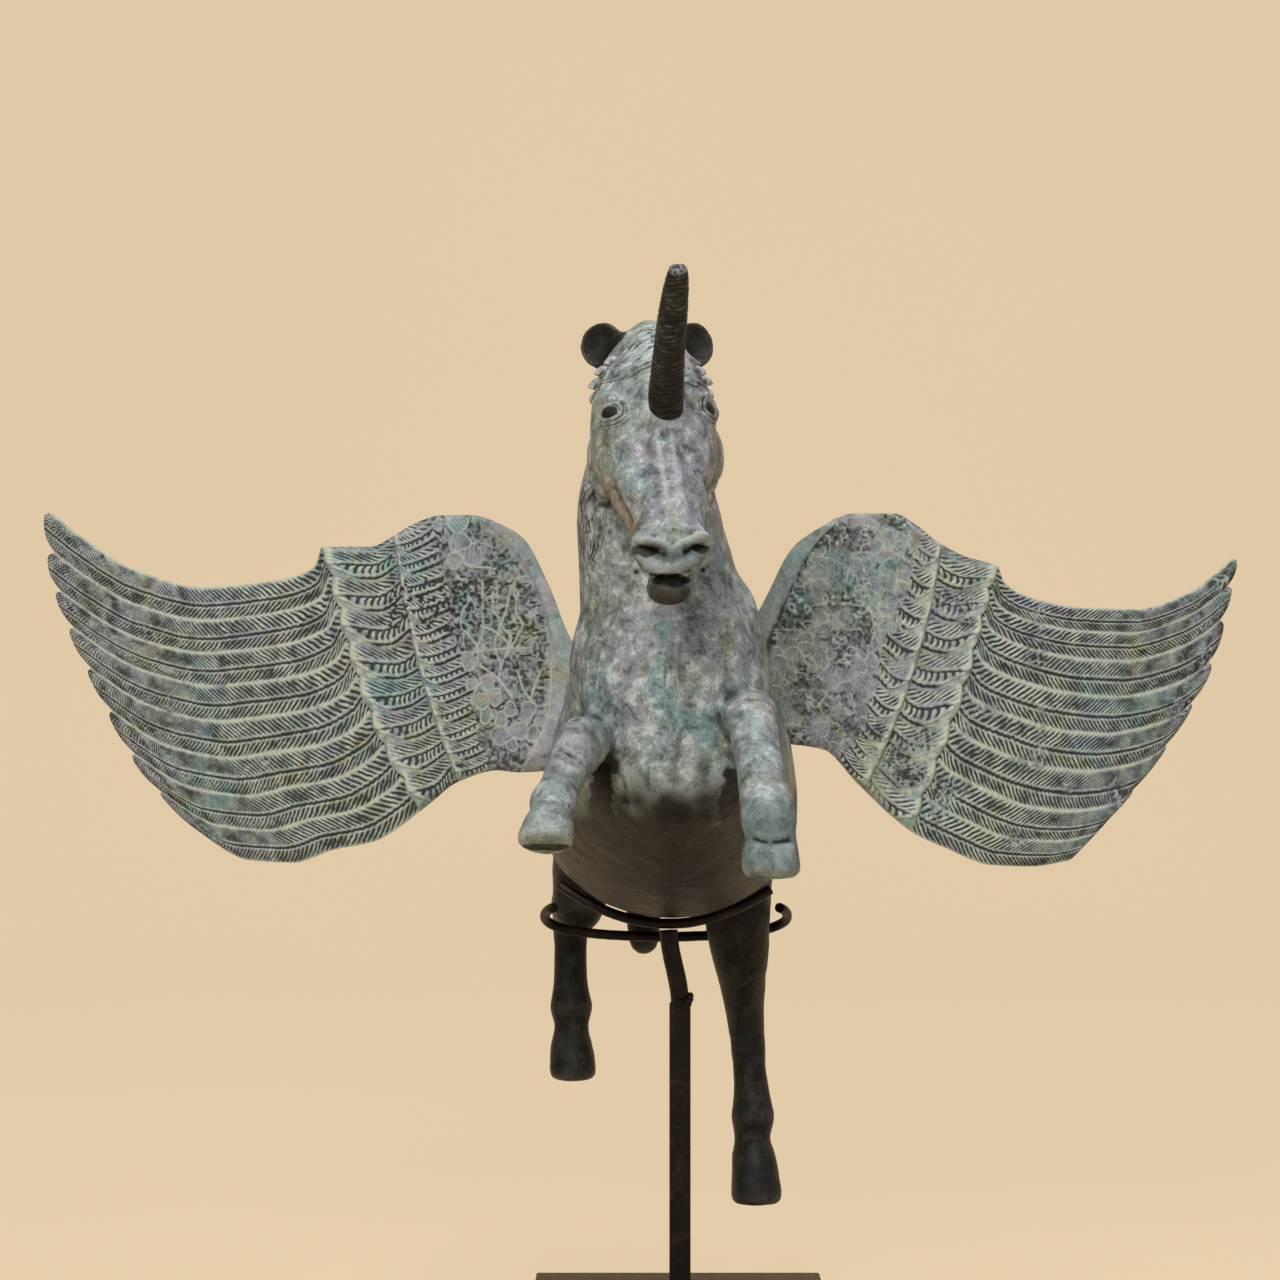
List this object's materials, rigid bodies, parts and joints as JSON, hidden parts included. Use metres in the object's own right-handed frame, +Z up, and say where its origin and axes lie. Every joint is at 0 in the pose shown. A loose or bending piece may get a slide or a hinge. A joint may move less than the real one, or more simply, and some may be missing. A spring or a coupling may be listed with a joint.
{
  "type": "winged unicorn statue on a stand",
  "caption": "Cast bronze winged unicorn leaping with its wings spread, carried by a bent iron cradle on a post and a flat base plate.",
  "frame": {"origin": "middle of the underside of the base plate", "axes": "+Z up, -Y the way the unicorn faces, +X towards its left wing, along the wing span"},
  "size_m": [0.6645, 0.4836, 0.5501],
  "materials": {
    "bronze_patina": "mottled grey-green patina over dark brown bronze, satin",
    "black_iron": "very dark brown-black waxed iron, satin",
    "plate_iron": "dark brown iron plate, satin"
  },
  "bodies": {
    "root": {"unicorn_casting": "bronze_patina", "front_cradle_rod": "black_iron", "rear_cradle_rod": "black_iron", "cradle_tie_rod": "black_iron", "neck_rod": "black_iron", "stand_post": "black_iron", "base_plate": "plate_iron"}
  },
  "joints": []
}
